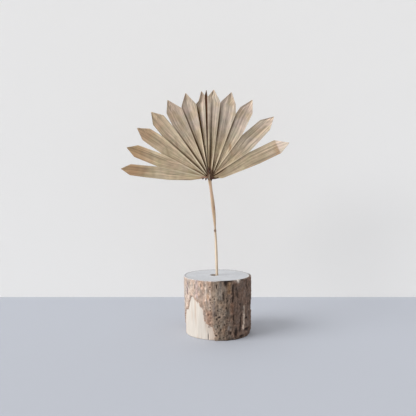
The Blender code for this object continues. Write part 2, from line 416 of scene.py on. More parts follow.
# Creases: segment, radius in mm and slant, shares across where it starts and ends, depth and width
# in mm, and how dark it is painted, partly the leaf's own browning and partly painted shade in it
CREASES = (
    (0, 84, 0.3, 0, 1, 0.5, 4.5, 0.1), (0, 97, -0.4, 0, 1, 0.4, 4, 0.15),
    (1, 92, 0.5, 0, 1, 0.4, 4.5, 0.15), (1, 60, -0.5, 0, 1, 0.4, 5, 0.1),
    (2, 76, 0.9, 0.1, 0.6, 0.5, 4, 0.3), (3, 74, 1.2, 0.1, 0.6, 0.5, 4, 0.25),
    (4, 66, 0.5, 0.2, 0.8, 0.4, 4, 0.15), (10, 59, -0.9, 0.45, 1.1, 0.6, 4, 0.85),
    (11, 47, -0.3, -0.1, 0.5, 0.4, 4, 0.45), (11, 66, 0.5, 0.3, 0.9, 0.3, 4, 0.1),
    (12, 62, 0.5, 0.2, 0.9, 0.3, 4, 0.1), (12, 24, 0, 0, 1.1, 0, 9, 0.3),
)
# Long marks that follow the veins, and one painted highlight along a ridge: segment, share across,
# half width as a share, first and last radius in mm, and brightness
LONG_MARKS = (
    (2, 0.85, 0.06, 30, 90, 1.1), (3, 0.3, 0.07, 58, 92, 0.88), (3, 0.8, 0.08, 40, 110, 1.08),
    (4, 0.5, 0.05, 50, 120, 0.93), (4, 0.75, 0.1, 30, 70, 1.12), (5, 0.38, 0.05, 70, 125, 0.7),
    (5, 0.62, 0.12, 60, 125, 1.1), (5, 0.8, 0.1, 30, 70, 1.12), (6, 0.6, 0.07, 66, 122, 1.45),
    # The mark at 0.12 across segment 8 is a painted highlight along the crest of its left ridge
    (6, 0.22, 0.2, 56, 125, 0.66), (6, 0.98, 0.1, 30, 125, 0.42), (8, 0.12, 0.07, 18, 112, 1.65),
    (8, 0.48, 0.03, 60, 128, 1.18), (8, 0.7, 0.04, 50, 120, 0.9), (9, 0.64, 0.09, 40, 95, 0.72),
    (9, 0.52, 0.04, 80, 125, 0.84), (9, 0.3, 0.04, 60, 115, 0.9), (9, 0.76, 0.08, 70, 128, 1.12),
    (10, 0.56, 0.05, 60, 115, 0.76), (10, 0.33, 0.04, 50, 120, 0.9), (10, 0.46, 0.03, 60, 110, 1.1),
    (11, 0.14, 0.07, 45, 100, 0.86), (11, 0.34, 0.05, 60, 115, 0.86),
    (11, 0.48, 0.05, 58, 125, 1.2), (11, 0.6, 0.06, 60, 118, 0.76), (11, 0.72, 0.05, 70, 118, 1.08),
    (12, 0.3, 0.04, 60, 105, 0.88), (12, 0.4, 0.05, 60, 105, 1.12), (12, 0.5, 0.05, 60, 105, 0.86),
    (12, 0.6, 0.05, 60, 100, 1.1), (12, 0.92, 0.07, 60, 112, 0.78),
)


def polar(radius, angle):
    """A point of the fan, from its radius in metres and its angle in degrees."""
    turn = np.radians(angle)
    return POLE + np.stack((radius * np.cos(turn), 0.0 * radius, radius * np.sin(turn)), axis=-1)


def along(points, places, at):
    """Points on the broken line through points, which it passes at the given places."""
    points = np.array(points)
    return np.stack([np.interp(at, places, points[:, axis]) for axis in range(3)], axis=-1)


def edge_line(index, side, radii):
    """Points of a segment's left (side 0) or right (side 1) edge, from the hub to the tip."""
    segment = SEGMENTS[index]
    shoulder = (segment.left_shoulder, segment.right_shoulder)[side] * MM
    tip = polar(segment.tip * MM, segment.angle)
    turn = math.degrees(math.asin(0.5 * segment.width * MM / shoulder)) * (1 - 2 * side)
    corner = polar(shoulder, segment.angle + turn)
    fold = index - 1 + side
    if 0 <= fold < len(FOLDS):
        split = FOLDS[fold].split * MM
        right, up = FOLDS[fold].root
        points = [POLE + np.array((right, 0, up)) * MM, polar(split, FOLDS[fold].angle)]
        places = [FIRST_RADIUS, split]
        if shoulder > split + 2.5 * MM:
            points.append(corner)
            places.append(shoulder)
    else:
        margin = RIGHT_MARGIN if side else LEFT_MARGIN
        points = [polar(radius * MM, angle) for radius, angle in margin]
        places = [radius * MM for radius, _ in margin]
    return along(points + [tip], places + [segment.tip * MM], radii)


def pleat_depth(index, radii):
    """Depth of a segment's pleat: it opens out from the hub and flattens towards the tip."""
    segment = SEGMENTS[index]
    hub, tip = segment.hub_depth, segment.tip_depth
    course = (
        (4, 0.4 * hub), (12, 0.8 * hub), (22, hub), (38, 0.95 * hub), (78, 0.5 * (hub + tip)),
        (segment.tip, tip),
    )
    return MM * read(course, radii / MM, 3)


def ridge(fold, radii):
    """How far forward the fold between two neighbours stands."""
    inner, outer = max(fold, 0), min(fold + 1, len(SEGMENTS) - 1)
    share = 0.3 if fold in (-1, len(FOLDS)) else 0.5
    return share * 0.5 * (pleat_depth(inner, radii) + pleat_depth(outer, radii))


def split_radius(fold):
    return FOLDS[fold].split * MM if 0 <= fold < len(FOLDS) else 0.0


def segment_grid(index):
    """One segment's middle surface: the shares across, radii, points and creases of its grid, and
    how many of its rows may be joined to its neighbours."""
    segment = SEGMENTS[index]
    tip = segment.tip * MM
    shoulder = max(segment.left_shoulder, segment.right_shoulder) * MM
    fused = np.arange(FIRST_RADIUS, shoulder + 0.1 * MM, ROW_STEP)
    last = tip - 0.3 * MM
    radii = np.concatenate((fused, np.linspace(fused[-1], last, ARROW_ROWS + 1)[1:]))
    columns = NARROW_COLUMNS if segment.width < NARROW_WIDTH else WIDE_COLUMNS
    shares = 0.5 - 0.5 * np.cos(np.linspace(0, math.pi, columns))
    shares = 0.5 * (shares + np.linspace(0, 1, columns))
    left, right = (edge_line(index, side, radii)[:, None] for side in (0, 1))
    points = left + (right - left) * shares[:, None]
    out = radii[:, None] + 0.0 * shares
    across = (shares - 0.5) * segment.width * MM

    low = -0.5 * pleat_depth(index, radii)[:, None]
    left_ridge, right_ridge = (ridge(fold, radii)[:, None] for fold in (index - 1, index))
    between = left_ridge * (1 - shares) + right_ridge * shares
    rounding = PLEAT_ROUNDING if columns == WIDE_COLUMNS else 0.0
    height = low + read(segment.section, shares, rounding) * (between - low)
    free_from = (max(split_radius(fold), CURL_FROM) for fold in (index - 1, index))
    free_left, free_right = (smooth(0, CURL_OVER, out - start) for start in free_from)
    height += -CURL_BACK * free_left * (1 - shares) ** 3 + CURL_FORWARD * free_right * shares**3
    if index == FOLDED:
        height += np.maximum(0.0, out - shoulder) * FOLDED_SLOPE
    height += BEND[index] * smooth(0, 1, (out - BEND_FROM) / (tip - BEND_FROM))

    crease = 0.0 * out
    for which, radius, slant, first, last, depth, spread, brown in CREASES:
        if which == index:
            away = (out - radius * MM - slant * across) / (spread * MM)
            there = smooth(first - 0.05, first + 0.1, shares)
            there *= smooth(last + 0.05, last - 0.1, shares)
            height += depth * MM * hump(away, 0, 1) * np.sin(away) * there
            crease = np.maximum(crease, brown * hump(away, 0, 0.8) * there)

    turn = np.arctan2(points[..., 2] - POLE[2], points[..., 0] - POLE[0])
    reach = (out / tip) ** 2
    height += SIDES_FORWARD * reach * np.abs(np.cos(turn)) - LEAN_BACK * reach * np.sin(turn)
    waves = 0.7 * MM * cloud(points, 26)
    waves += 0.22 * MM * cloud(points, 7, 5, 2)
    height += smooth(8 * MM, 40 * MM, out) * waves
    points[..., 1] = -height
    return shares, out, points, crease, len(fused)


def segment_tint(index, shares, out, points, crease):
    """Colour of each point of a segment. Lengths are in mm here, but for points."""
    segment = SEGMENTS[index]
    out = out / MM
    shoulder = min(segment.left_shoulder, segment.right_shoulder)
    width = np.linalg.norm((points[:, -1] - points[:, 0])[:, [0, 2]] / MM, axis=1)[:, None]
    from_left, from_right = shares * width, (1 - shares) * width
    patches = cloud(points, 22, 11)
    flecks = cloud(points, 6, 21)
    strands = MM * np.stack((from_left, out, 7 * index + 0.0 * out), axis=-1)
    streaks = cloud(strands, (1.9, 42, 5), 31, 2)
    tint = mix(LEAF, LEAF_ROSE, ROSE[index] * smooth(40, 100, out))
    tint = mix(tint, LEAF_OLIVE, 0.5 * smooth(0, 0.5, patches))
    tint = mix(tint, LEAF_PALE, 0.25 * smooth(0, 0.5, -patches))
    middle, tip = BRIGHT_MIDDLE[index], BRIGHT_TIP[index]
    bright = read(((0, 1), (15, middle), (75, middle), (120, tip)), out, 10)
    tint *= (bright * (1 + 0.14 * flecks + 0.36 * streaks))[..., None]
    tint = mix(tint, NEAR_HUB, 0.55 * smooth(34, 10, out))
    # Painted highlight near the hub along the right side, which faces the light
    hub_highlight = smooth(56, 26, out) * hump(from_right, 0.9, 0.9)
    tint = mix(tint, HIGHLIGHT_CREAM, NEAR_HUB_HIGHLIGHT[index] * hub_highlight)
    browned = smooth(78, 120, out + 10 * patches + 4 * flecks)
    tint = mix(tint, LEAF_BROWN, BROWN_TIP[index] * browned)
    # Brown along the creases: partly the leaf's own browning, partly painted shade
    tint = mix(tint, LEAF_BROWN * 0.6, crease * smooth(-0.6, 0.4, flecks + 0.3))
    for which, share, spread, first, last, factor in LONG_MARKS:
        if which == index:
            ends = smooth(first, first + 12, out) * smooth(last + 6, last - 12, out)
            tint *= (1 + (factor - 1) * hump(shares, share, spread) * ends)[..., None]
    if index > 0:
        fold = FOLDS[index - 1]
        # Painted shade, over the fold's own brown, along each segment's left side next to its fold
        course = (
            (0, fold.near), (20, fold.near), (32, fold.middle), (54, fold.middle), (64, fold.far),
            (fold.split - 14, fold.far), (fold.split + 6, 0.25 * fold.far),
        )
        dark = read(course, out)
        limit = np.minimum(0.26 * width, 1.1 + 0.9 * dark)
        dark *= smooth(1.7 * limit, 0.9 * limit, from_left)
        tint = mix(tint, FOLD_BROWN_AND_SHADE, dark)
    if index == DEEP:
        # Painted shade down this segment's valley
        dark = read(((0, 0.95), (48, 0.95), (66, 0.55), (108, 0.4), (120, 0)), out)
        valley = read(((4, 0.5), (26, 0.55), (38, 0.49), (60, 0.4), (100, 0.32)), out) * width
        tint = mix(tint, FOLD_BROWN_AND_SHADE * 0.9, dark * hump(from_left, valley, 2))
    if segment.width < NARROW_WIDTH:
        # The narrow groove is painted dark: its own brown and painted shade
        tint = mix(tint, GROOVE_BROWN_AND_SHADE, smooth(20, 60, out) * hump(shares, 0.45, 0.9))
    else:
        # Painted highlight along the crest of the segment's right ridge
        crest_highlight = hump(from_right, 0.35, 0.6) * smooth(30, 50, out)
        tint = mix(tint, HIGHLIGHT_CREAM, 0.38 * crest_highlight)
    if index == FOLDED:
        margin = hump(from_right, 0, 0.9) * smooth(45, 65, out)
        tint = mix(tint, LEAF_BROWN * 0.8, 0.7 * margin)
        worn = hump(out, shoulder - 3, 4) * smooth(0.1, 0.8, shares)
        tint = mix(tint, LEAF_BROWN, 0.42 * worn)
        tint = mix(tint, FLAP_CREAM, smooth(shoulder - 0.6, shoulder + 0.6, out))
    across, up = ((points[..., axis] - POLE[axis]) / MM for axis in (0, 2))
    reach = np.hypot(across - 1, (up - 3) / 1.5) + 2 * flecks
    return mix(tint, HUB_BROWN, 0.9 * smooth(8.5, 4.5, reach))


def make_blade(material):
    """All segments as one sheet, joined along each fold as far as its split, and then thickened."""
    points, faces, tints, veins = [], [], [], []
    count, last_edge, last_fusable = 0, None, 0
    for index, segment in enumerate(SEGMENTS):
        shares, out, grid, crease, fusable = segment_grid(index)
        numbers = count + np.arange(out.size).reshape(out.shape)
        if index > 0:
            rows = min(fusable, last_fusable)
            rows = int(np.sum(out[:rows, 0] <= split_radius(index - 1) + 0.1 * MM))
            numbers[:rows, 0] = last_edge[:rows]
        points.append(grid.reshape(-1, 3))
        count += out.size
        faces.append(quads(numbers).reshape(-1, 4))
        tints.append(quads(segment_tint(index, shares, out, grid, crease)).reshape(-1, 3))
        shoulder = segment.left_shoulder * MM
        narrowing = np.clip((segment.tip * MM - out) / (segment.tip * MM - shoulder), 0, 1)
        across = (shares - 0.5) * segment.width * MM * narrowing
        place = np.stack((across, out, 0.0 * out + VEIN_STEP * index), axis=2)
        veins.append(quads(place).reshape(-1, 3))
        last_edge, last_fusable = numbers[:, -1], fusable
    used, faces = only_used(np.concatenate(faces))
    points = np.concatenate(points)[used]
    blade = make_piece("blade", points, faces, material, "palm_frond")
    store_tint(blade, np.concatenate(tints), "CORNER")
    made = blade.data.attributes.new("veins", "FLOAT_VECTOR", "CORNER")
    made.data.foreach_set("vector", np.concatenate(veins).astype(np.float32).ravel())
    skin = blade.modifiers.new("thickness", "SOLIDIFY")
    skin.thickness = BLADE_THICKNESS
    skin.offset = 0.0


# The stalk and the hub

STALK_TAN = srgb(200, 170, 138)
STALK_ROSE = srgb(208, 176, 152)
STALK_STRAW = srgb(232, 213, 188)
KNOT_BROWN = srgb(92, 58, 40)
STALK_SCAR = srgb(160, 114, 100)
# Height, x, y and radius of the stalk in mm, from its cut end up into the hub
STALK = MM * np.array((
    (39.3, -0.35, 0, 1.85), (62, -0.4, 0, 1.85), (84, -0.6, 0, 1.85), (97, -0.9, 0.1, 1.85),
    (111, -1.3, 0.3, 1.95), (126, -1.8, 0.5, 1.85), (140, -2.4, 0.6, 1.6), (150, -3.15, 0.6, 1.45),
    (158, -3.55, 0.6, 1.5), (168, -4.25, 0.7, 2.25), (184, -5.8, 0.6, 2.75), (196, -7.2, 0.4, 2.55),
    (208, -8.9, 0.2, 2.1), (218, -10.25, 0, 2.05), (226, -11.5, -0.3, 2.75),
))
KNOT_HEIGHT = 150 * MM
KNOT_SIDE = math.radians(180)
SCAR_HEIGHT = 184 * MM
# Height, x, half width and half depth of the hub in mm
HUB = MM * np.array((
    (220.8, -10.7, 1.9, 1.8), (225, -11.2, 2.4, 2.2), (228, -10.4, 3.9, 2.6),
    (230, -10.4, 3.9, 2.8), (233, -11.6, 2.8, 2.6), (238, -12.9, 1.7, 2.2), (242, -13.4, 1.2, 1.9),
    (246, -13.7, 0.5, 1.2),
))


def make_stalk(material):
    """A bowed stalk with faint ribs, and a knot whose bump is on its left."""
    up, around, (middle_x, middle_y, radius) = tube_grid(STALK, STALK_FOOT, 0.7 * MM, 40, 5 * MM)
    flat = np.stack((np.cos(around) * 2 * MM, np.sin(around) * 2 * MM, up), axis=2)
    fibres = cloud(flat, (1.5, 1.5, 30))
    swell = 1 + 0.05 * np.cos(5 * around + 20 * up) + 0.05 * fibres
    knot = hump(up, KNOT_HEIGHT, 1.6 * MM)
    swell += 0.35 * knot * (0.35 + 0.65 * hump(np.cos(around - KNOT_SIDE), 1, 0.8))
    swell -= 0.1 * hump(up, KNOT_HEIGHT + 5 * MM, 3 * MM)
    x = middle_x + radius * swell * np.cos(around)
    y = middle_y + 0.9 * radius * swell * np.sin(around)
    points, faces = close_tube(np.stack((x, y, up), axis=2))

    right = np.cos(around)
    tint = mix(STALK_STRAW, STALK_TAN, smooth(120 * MM, 165 * MM, up))
    tint = mix(tint, STALK_ROSE, 0.6 * hump(up, 205 * MM, 12 * MM))
    # Painted shade on the stalk's right side, away from the light, below 205 mm
    shaded_side = smooth(-0.5, 0.7, right) * smooth(205 * MM, 150 * MM, up)
    tint = mix(tint, STALK_TAN * 0.85, 0.6 * shaded_side)
    tint = mix(tint, KNOT_BROWN, 0.95 * hump(up, KNOT_HEIGHT, 1.7 * MM) * (1 - 0.6 * shaded_side))
    scar = hump(up, SCAR_HEIGHT, 3.5 * MM) * smooth(-0.2, 0.6, right)
    tint = mix(tint, STALK_SCAR, 0.7 * scar)
    tint = mix(tint, HUB_BROWN, 0.8 * smooth(223.5 * MM, 227 * MM, up))
    stalk = make_piece("stalk", points, faces, material, "palm_frond")
    store_tint(stalk, with_ends(tint))


def make_hub(material):
    """The fibrous lump where the stalk meets the folds."""
    up, around, (middle, wide, deep) = tube_grid(HUB, HUB[0, 0], 0.4 * MM, 56, 2 * MM)
    flat = np.stack((np.cos(around) * 4 * MM, np.sin(around) * 4 * MM, up), axis=2)
    fibres = cloud(flat, (1.2, 1.2, 9))
    swell = 1 + 0.1 * np.cos(11 * around + 60 * up) + 0.22 * fibres
    x = middle + wide * swell * np.cos(around)
    y = deep * swell * np.sin(around)
    points, faces = close_tube(np.stack((x, y, up), axis=2))
    tint = mix(HUB_BROWN, STALK_TAN * 0.6, 0.5 * smooth(0, 0.5, fibres))
    tint = mix(tint, HUB_DARK, 0.85 * smooth(233 * MM, 237 * MM, up))
    tint = mix(tint, HUB_OLIVE, 0.7 * smooth(-10 * MM, -8.6 * MM, x))
    # Painted shade where the fibres dip in
    tint = mix(tint, FOLD_BROWN_AND_SHADE, 0.6 * smooth(0, 0.5, -fibres))
    hub = make_piece("hub", points, faces, material, "palm_frond")
    store_tint(hub, with_ends(tint))


DARK = srgb(96, 68, 50)
OLIVE = srgb(90, 68, 40)
MAUVE = srgb(176, 138, 116)
MAROON = srgb(84, 50, 38)
GREY_TAN = srgb(146, 126, 104)
# Torn bits of sheath round the hub: start, middle, end (x, y, z in mm), thickness in mm, and colour
SCRAPS = (
    ((-14.5, -0.8, 229), (-19, -1.6, 229.2), (-25, -2.2, 229.4), 2.8, MAUVE),
    ((-20.3, -1.6, 229), (-21.4, -2, 227.8), (-22, -2, 226.2), 2.3, DARK),
    ((-16, -1.2, 229), (-17, -1.6, 227), (-17.6, -1.6, 225), 2.6, DARK),
    ((-8, -1, 228.2), (-4, -2, 227.6), (2.4, -2.4, 228.8), 2.6, OLIVE),
    ((-10, -1.6, 229.8), (-7.6, -2.6, 230), (-5.4, -2.2, 231.4), 2, OLIVE),
    ((-11, 0.4, 228.6), (-8.4, 0.6, 231), (-5.8, 0.8, 233.6), 4.4, DARK),
    ((-8.5, -2.6, 229.4), (-6.5, -3.2, 228), (-5, -2.8, 227), 2.8, MAROON),
    ((-11.6, -2.6, 225), (-12.4, -3.6, 229), (-11.4, -3, 234), 2.6, GREY_TAN),
    ((-10.4, -2.8, 226), (-10, -3.4, 229), (-9.6, -3.2, 232.5), 1.2, MAROON),
    ((-9.6, -1.4, 226.5), (-9.2, -1.8, 225), (-9, -1.4, 223.8), 1.6, OLIVE),
    ((-12.6, -2, 237), (-13.4, -3, 239), (-13.2, -2.4, 241.5), 1.5, MAROON),
)


def make_scraps(material):
    """Bent, tapering bits of sheath, each a closed tube along its own short curve."""
    points, faces, tints, count = [], [], [], 0
    for start, middle, end, thick, tone in SCRAPS:
        start, middle, end = (np.array(p) * MM for p in (start, middle, end))
        steps = np.linspace(0, 1, 15)
        turns = np.linspace(0, 2 * math.pi, 12, endpoint=False)[:, None]
        spine = ((1 - steps) ** 2)[:, None] * start + (2 * steps * (1 - steps))[:, None] * middle
        spine += (steps**2)[:, None] * end
        heading = np.gradient(spine, axis=0)
        heading /= np.linalg.norm(heading, axis=1)[:, None]
        side = np.cross(heading, (0.0, 1.0, 0.0))
        side /= np.linalg.norm(side, axis=1)[:, None]
        front = np.cross(side, heading)
        radius = 0.5 * thick * MM * np.sqrt(np.clip(1.05 - steps**2, 0.05, 1))
        ring = side[:, None] * np.cos(turns) + 0.6 * front[:, None] * np.sin(turns)
        rings = spine[:, None] + ring * radius[:, None, None]
        rings += ring * (0.25 * thick * MM * cloud(rings, 1.5, 0, 2))[..., None]
        own_points, own_faces = close_tube(rings)
        points.append(own_points)
        tints.append(tone + 0.0 * own_points)
        faces += [tuple(number + count for number in face) for face in own_faces]
        count += len(own_points)
    points = np.concatenate(points)
    scraps = make_piece("sheath_scraps", points, faces, material, "palm_frond")
    shade = 1 + 0.4 * cloud(points, 2, 0, 2)
    store_tint(scraps, np.concatenate(tints) * shade[:, None])


# The log

LOG_RADIUS = 47.6 * MM
LOG_LOBES = ((2, 0.01, 0.4), (3, 0.008, 2.1), (5, 0.006, 0.9))
LOG_TAPER = 0.045
BORE_X = -4.6 * MM
BORE_RADIUS = 6.5 * MM
BORE_DEPTH = 45 * MM
WOOD_COLUMNS = 240
BARK_COLUMNS = 380
BARK_ROWS = 128
BARK_INSIDE = 0.9 * MM
BARK_BURIED = 0.35 * MM
SAWN_GREY = srgb(201, 203, 207)
SAWN_TAN = srgb(212, 204, 192)
BARE_CREAM = srgb(227, 218, 206)
BARE_TAN = srgb(212, 192, 174)
# Brown inside the bore: partly the wood's own colour, partly painted shade
BORE_BROWN_AND_SHADE = srgb(120, 88, 58)
CRACK_BROWN = srgb(58, 46, 42)
# Height, in mm, up to which the wood is bare, by angle round the log from the front, rightwards
BARE_EDGE = (
    (-180, -5), (-112, -5), (-100, 4), (-88, 20), (-76, 29), (-72, 36), (-62, 39), (-57, 50),
    (-51, 60), (-47, 56), (-40, 53), (-33, 50), (-30, 45), (-27, 41), (-25, 37), (-24, 28),
    (-20, 26), (-17, 22), (-15, 19), (-8, 18), (-6, 13), (-4, 5), (-3, -5), (180, -5),
)
# Bark's colour by angle round the log, in the same degrees
BARK_TONES = (
    (-180, (140, 120, 102)), (-120, (166, 144, 124)), (-85, (188, 172, 160)),
    (-58, (198, 180, 166)), (-30, (184, 161, 145)), (-16, (166, 144, 127)), (-2, (148, 131, 115)),
    (12, (132, 114, 99)), (32, (118, 98, 86)), (55, (120, 100, 88)), (80, (124, 104, 92)),
    (120, (132, 112, 96)), (180, (140, 120, 102)),
)
# Bark's thickness in mm by angle, and its relief: height in mm on the pale side, how much more on
# the dark side, the width and length of its blobs in mm, and where they are taken from the noise
BARK_THICKNESS = (
    (-180, 2.2), (-90, 1.5), (-50, 1.2), (-10, 1.4), (30, 2.1), (90, 2.3), (180, 2.2),
)
BARK_RELIEF = ((0.35, 0.7, 4.2, 26, 1), (0.4, 0.5, 9, 12, 6), (0.3, 0.5, 2.6, 4, 2))
# Cracks: angle, lowest and highest mm, width mm, depth mm
CRACKS = (
    (26.5, 53, 78, 1.9, 1.8), (43.5, 10, 36, 2.4, 2), (62, 50, 80, 1, 1.2), (70, 26, 70, 1.3, 1.4),
    (11, 56, 68, 1.6, 1), (35, 60, 74, 1, 1), (57, 60, 78, 1, 1), (29, 22, 42, 1.2, 0.9),
    (20, 8, 15, 1.4, 1), (82, 20, 80, 1.3, 1.4), (105, 10, 70, 1.6, 1.6), (131, 30, 82, 1.5, 1.6),
    (158, 5, 60, 1.8, 1.7), (-160, 20, 80, 1.5, 1.5), (-128, 14, 66, 1.4, 1.2),
)
# Hollows and holes: angle, height mm, half width mm, half height mm, depth mm
HOLLOWS = (
    (33.5, 9.5, 3.4, 7.5, 2.2), (14, 80.5, 3, 5, 1.5), (18, 84, 11, 2.4, 1.6),
    (62, 10.5, 9, 2.6, 1.8), (58, 27.5, 3.6, 1.8, 1.3), (46, 84, 3, 2.2, 1), (41, 49, 2, 2.4, 1),
    (47, 3, 5, 2, 1.4), (-1.5, 76, 1.1, 3.4, 1.5), (-29, 76.5, 1.2, 3.2, 0.8),
    (-42, 73.5, 1.4, 4, 0.5), (-13, 75, 1.8, 1, 0.8), (-5, 58.6, 1.2, 1.6, 1.2), (-12, 53, 1, 1, 1),
    (1, 42.5, 1.7, 1.3, 1.3), (-12, 42, 1.3, 1.6, 0.9), (4, 33.2, 1.8, 1.6, 1.6),
    (-1, 30.3, 1.4, 1.7, 1.4), (-2, 35.5, 1.3, 1.5, 1), (0.5, 19.2, 1.1, 2.6, 1.2),
    (12.5, 22.5, 1.2, 1.5, 1.3), (15, 46, 1.6, 2, 1), (-16, 36, 1, 2.2, 0.7), (-2, 7.5, 2, 1.5, 1),
    (23, 10, 1.8, 3, 1.2), (65, 46, 2, 2.5, 1),
)
WORM_SEED = 11
WORM_COUNT = 60
# Streaks and patches of another colour, and a band of painted shadow at the foot: angle, lowest and
# highest mm, width mm, strength, colour
STREAKS = (
    (-62, 60, 80, 2, 0.9, (122, 106, 110)), (-38, 58, 86, 3, 0.5, (186, 168, 170)),
    (-20, 52, 86, 1.5, 0.7, (232, 212, 196)), (-12.5, 60, 72, 1.3, 0.7, (226, 206, 190)),
    (-15, 48, 58, 1.2, 0.6, (226, 204, 190)), (-6, 34, 52, 3, 0.5, (128, 118, 116)),
    (5, 58, 82, 4, 0.4, (124, 120, 116)), (-14, 22, 42, 8, 0.55, (176, 138, 116)),
    (19.5, 66, 82, 4, 0.75, (158, 124, 92)), (25, 38, 52, 3.4, 0.5, (138, 100, 78)),
    (9, 26, 46, 3, 0.3, (150, 132, 118)), (50, 12, 46, 2.5, 0.95, (214, 194, 176)),
    (60, 15, 22, 7, 0.5, (150, 130, 118)), (20, 14, 20, 3, 0.5, (150, 146, 144)),
    (37, 82.5, 87, 7, 0.85, (206, 198, 190)), (37.5, 80, 86, 3.2, 0.8, (204, 194, 182)),
    # The row at 30 degrees, from -3 to 3 mm, is painted shadow along the foot of the log on its
    # right side
    (14, 80, 88, 10, 0.7, (66, 54, 48)), (30, -3, 3, 24, 0.7, (62, 52, 46)),
    (72, 0, 12, 9, 0.5, (80, 62, 54)),
)
# A pale ridge: angle, lowest and highest mm, width mm, how proud it stands in mm
PALE_RIDGE = (50, 13, 46, 2.4, 0.9)


def trunk_noise(angles, heights, across, along, shift=0, octaves=3):
    """Noise round the trunk that meets itself, with blobs across mm wide and along mm long."""
    ring = np.stack((LOG_RADIUS * np.sin(angles), LOG_RADIUS * np.cos(angles), heights), axis=-1)
    return cloud(ring, (across, across, along), shift, octaves)


def wood_radius(angles, heights):
    """Radius of the wood under the bark."""
    turned = angles - math.pi / 2
    lobes = sum(share * np.cos(count * turned + phase) for count, share, phase in LOG_LOBES)
    taper = LOG_TAPER * (heights / LOG_TOP - 1)
    return LOG_RADIUS * (1 + lobes + taper)


def apart(angles, angle):
    """Distance round the trunk, in mm, from an angle in degrees."""
    turn = (angles - math.radians(angle) + math.pi) % (2 * math.pi) - math.pi
    return turn * LOG_RADIUS / MM


def all_hollows():
    """HOLLOWS, and scattered holes where beetles bored the grey middle of the bark."""
    draw = random.Random(WORM_SEED)
    rows = list(HOLLOWS)
    for _ in range(WORM_COUNT):
        angle, height = draw.gauss(8, 13), draw.uniform(3, 66)
        size = draw.uniform(0.7, 1.15)
        tall = size * draw.uniform(0.9, 1.8)
        if height > np.interp(angle, *zip(*BARE_EDGE)) + 4:
            rows.append((angle, height, size, tall, 0.6))
    return rows


def hollow_shape(angles, high, row):
    """How far from a hollow's middle a point is: 0 in the middle, 1 at the edge."""
    angle, height, wide, tall, _ = row
    return np.hypot(apart(angles, angle) / wide, (high - height) / tall)


def bark_depth(angles, heights):
    """How far the bark stands out from the wood, negative where it has come off, and how many mm
    each point is above the edge of the bare wood."""
    high = heights / MM
    wander = 1.6 * trunk_noise(angles, heights, 8, 8, 3)
    wander += 1.6 * trunk_noise(angles, heights, 2.6, 2.6, 9, 2)
    degrees = np.degrees(angles)
    above = high - np.interp(degrees + 1.2 * wander, *zip(*BARE_EDGE)) + wander
    thickness = np.interp(degrees, *zip(*BARK_THICKNESS))
    dark_side = smooth(-30, 25, degrees) + smooth(-95, -140, degrees)
    for least, more, across, along_trunk, shift in BARK_RELIEF:
        relief = trunk_noise(angles, heights, across, along_trunk, shift)
        thickness += (least + more * dark_side) * relief
    for angle, low, top, wide, deep in CRACKS:
        thickness -= deep * crack_shape(angles, high, angle, low, top, wide)
    for row in all_hollows():
        thickness -= row[4] * smooth(1.15, 0.4, hollow_shape(angles, high, row))
    angle, low, top, wide, proud = PALE_RIDGE
    thickness += proud * crack_shape(angles, high, angle, low, top, wide)
    thickness = np.maximum(thickness, 0.1)
    covered = smooth(-0.7, 0.7, above)
    return (thickness * covered - (1 - covered) * BARK_BURIED * 2 / MM) * MM, above


def crack_shape(angles, high, angle, low, top, wide):
    """1 along a wavering line up the trunk, 0 away from it."""
    course = 0.8 * np.sin(high / 7.0 + angle) + 0.4 * np.sin(high / 2.9 + 2 * angle)
    ends = smooth(low - 2.5, low + 2.5, high) * smooth(top + 2.5, top - 2.5, high)
    return hump(apart(angles, angle) + 0.7 * course, 0, 0.62 * wide) * ends


def bark_tint(angles, heights, depth, above):
    """Colour of each point of the bark."""
    high = heights / MM
    degrees = np.degrees(angles)
    places, tones = zip(*BARK_TONES)
    tones = np.array([srgb(*tone) for tone in tones])
    sway = 12 * trunk_noise(angles, heights, 9, 22, 4)
    tint = np.stack([np.interp(degrees + sway, places, tone) for tone in tones.T], axis=-1)
    streaks = trunk_noise(angles, heights, 2.6, 18, 7)
    mottle = trunk_noise(angles, heights, 3.4, 5, 8, 4)
    warmth = trunk_noise(angles, heights, 5, 11, 14)
    rough = 0.75 + 0.25 * smooth(-20, 0, degrees) + 0.25 * smooth(-95, -140, degrees)
    tint *= (1 + rough * (0.3 * streaks + 0.42 * mottle))[..., None]
    tint *= 1 + warmth[..., None] * np.array((0.12, 0, -0.09))
    for angle, low, top, wide, strength, colour in STREAKS:
        ends = smooth(low - 2, low + 2, high) * smooth(top + 2, top - 2, high)
        line = hump(apart(angles, angle) + mottle, 0, 0.7 * wide)
        tint = mix(tint, srgb(*colour) * (1 + 0.5 * mottle)[..., None], strength * line * ends)
    for angle, low, top, wide, _ in CRACKS:
        tint = mix(tint, CRACK_BROWN * 0.5, 0.92 * crack_shape(angles, high, angle, low, top, wide))
    for row in all_hollows():
        away = hollow_shape(angles, high, row)
        tint *= (1 + 0.16 * hump(away, 1.5, 0.4))[..., None]
        tint = mix(tint, CRACK_BROWN * 0.6, min(0.9, 0.3 + 0.4 * row[4]) * smooth(1.2, 0.4, away))
    tint = mix(tint, srgb(178, 134, 108), 0.5 * hump(above, 1.2, 1.5))
    hollow = smooth(1.2, 0.3, depth / MM) * smooth(-30, 10, degrees)
    tint = mix(tint, CRACK_BROWN, 0.45 * hollow)
    brown_rim = smooth(-8, 6, degrees) * smooth(105, 90, degrees)
    sawn = smooth(0.9, 0.3, (LOG_TOP - heights) / MM) * (1 - 0.95 * brown_rim)
    return np.clip(mix(tint, SAWN_GREY * 0.97, 0.95 * sawn), 0, 1)


def on_trunk(angles, heights, radius):
    return np.stack((radius * np.sin(angles), -radius * np.cos(angles), heights), axis=-1)


